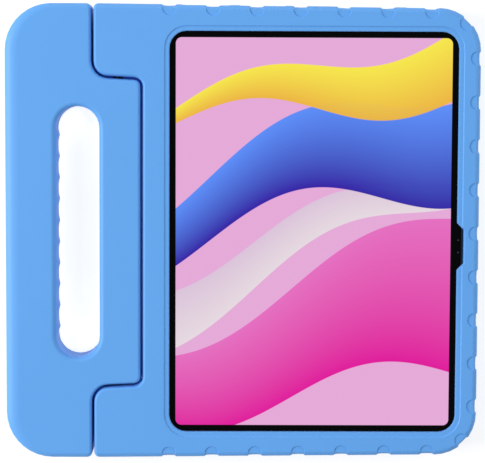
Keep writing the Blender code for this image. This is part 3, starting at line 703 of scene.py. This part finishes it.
def floor_material():
    """White to the eye but for the object's shadow, and matt white to all other light. Between
    walls it is plain white, a painted light over the shade there; in deep narrow gaps it is a
    painted dark blue shade, as dark as the foam; and from below clear."""
    made = bpy.data.materials.new("studio_floor")
    made.use_nodes = True
    tree = made.node_tree
    tree.nodes.remove(tree.nodes["Principled BSDF"])
    openness = tree.nodes.new("ShaderNodeAmbientOcclusion")
    openness.inputs["Distance"].default_value = OPENNESS_REACH
    # Painted shade: in narrow seams the floor's glow turns dark blue, by how open the spot is
    free_of_painted_shade = ramp(tree, openness.outputs["AO"], *GAP_OPENNESS)
    # Painted light: between close walls, as in the slot, the glow rises to plain white over the
    # shade
    painted_slot_light_mask = ramp(tree, openness.outputs["AO"], *SLOT_OPENNESS)
    level = blend_colours(tree, painted_slot_light_mask, FLOOR_COLOUR, SLOT_PAINTED_LIGHT)
    white = tree.nodes.new("ShaderNodeEmission")
    feed(tree, white.inputs["Color"], blend_colours(tree, free_of_painted_shade, GAP_PAINTED_SHADE, level))
    pale = tree.nodes.new("ShaderNodeAddShader")
    feed(tree, pale.inputs[0], matt_shader(tree, FLOOR_SHADED))
    feed(tree, pale.inputs[1], white.outputs[0])

    rays = tree.nodes.new("ShaderNodeLightPath").outputs
    seen = compute(tree, "MAXIMUM", rays["Is Camera Ray"], rays["Is Glossy Ray"])
    seen = compute(tree, "MAXIMUM", seen, rays["Is Transmission Ray"])
    choice = mix_shaders(tree, seen, matt_shader(tree, FLOOR_MATT), pale.outputs[0])

    below = tree.nodes.new("ShaderNodeNewGeometry").outputs["Backfacing"]
    touching = compute(tree, "LESS_THAN", rays["Ray Length"], FLOOR_TOUCH)
    touching = compute(tree, "MULTIPLY", touching, rays["Is Diffuse Ray"])
    hidden = compute(tree, "MAXIMUM", below, touching)
    clear = tree.nodes.new("ShaderNodeBsdfTransparent").outputs[0]
    surface = mix_shaders(tree, hidden, choice, clear)
    feed(tree, tree.nodes["Material Output"].inputs["Surface"], surface)
    return made


def sky_world(strength):
    """Even light all round. It looks white itself."""
    world = bpy.data.worlds.new("studio_sky")
    world.use_nodes = True
    tree = world.node_tree
    rays = tree.nodes.new("ShaderNodeLightPath").outputs
    seen = compute(tree, "MAXIMUM", rays["Is Camera Ray"], rays["Is Transmission Ray"])
    back = tree.nodes["Background"]
    back.inputs["Color"].default_value = (1.0, 1.0, 1.0, 1.0)
    more = compute(tree, "MULTIPLY_ADD", seen, 1.0 - strength, strength)
    feed(tree, back.inputs["Strength"], more)
    bpy.context.scene.world = world


def lamp(name, place, size, power):
    """A square soft lamp that faces the object."""
    bpy.ops.object.light_add(type="AREA", location=place)
    made = bpy.context.object
    made.name = name
    made.data.size = size
    made.data.energy = power
    made.rotation_euler = (-Vector(place)).to_track_quat("-Z", "Y").to_euler()


class CASE_OT_stage(bpy.types.Operator):
    """Make the floor, the sky, the lamps and the camera"""

    bl_idname = "tablet_case.stage"
    bl_label = "Stage"

    def execute(self, context):
        stage = context.scene.case_stage
        deselect_all()
        bpy.ops.mesh.primitive_plane_add(size=stage.floor, location=(0, 0, -FLOOR_GAP))
        floor = context.object
        floor.name = "studio_floor"
        floor.data.materials.append(floor_material())
        sky_world(stage.sky)
        for name, setting, place, size in LAMPS:
            lamp(name, place, size, getattr(stage, setting))
        bpy.ops.object.camera_add(
            location=tuple(stage.camera_place), rotation=tuple(stage.camera_turn)
        )
        camera = context.object
        camera.data.sensor_fit = "HORIZONTAL"
        camera.data.lens = stage.camera_lens
        context.scene.camera = camera
        context.scene.view_settings.view_transform = "Standard"
        return {"FINISHED"}


OPERATORS = (
    CASE_OT_stage,
    CASE_OT_shell,
    CASE_OT_handle,
    CASE_OT_hinge,
    CASE_OT_tablet,
    CASE_OT_screen,
)


class CASE_PT_sidebar(bpy.types.Panel):
    """Lists the pieces of the tablet case"""

    bl_idname = "CASE_PT_sidebar"
    bl_label = "Tablet Case"
    bl_space_type = "VIEW_3D"
    bl_region_type = "UI"
    bl_category = "Tablet Case"

    def draw(self, context):
        for group in SETTINGS:
            settings = getattr(context.scene, group)
            box = self.layout.box()
            for name in settings.bl_rna.properties.keys():
                if name not in ("rna_type", "name"):
                    box.prop(settings, name)
        for operator in OPERATORS:
            self.layout.operator(operator.bl_idname)


SETTINGS = {"case_foam": FoamSettings, "case_tablet": TabletSettings, "case_stage": StageSettings}
CLASSES = (*SETTINGS.values(), *OPERATORS, CASE_PT_sidebar)


def register():
    for cls in CLASSES:
        bpy.utils.register_class(cls)
    for name, settings in SETTINGS.items():
        setattr(bpy.types.Scene, name, bpy.props.PointerProperty(type=settings))


def unregister():
    for name in SETTINGS:
        delattr(bpy.types.Scene, name)
    for cls in reversed(CLASSES):
        bpy.utils.unregister_class(cls)


def main():
    """Builds the whole scene."""
    register()
    bpy.ops.tablet_case.stage()
    bpy.ops.tablet_case.shell()
    bpy.ops.tablet_case.handle()
    bpy.ops.tablet_case.hinge()
    bpy.ops.tablet_case.tablet()
    bpy.ops.tablet_case.screen()


if __name__ == "__main__":
    main()
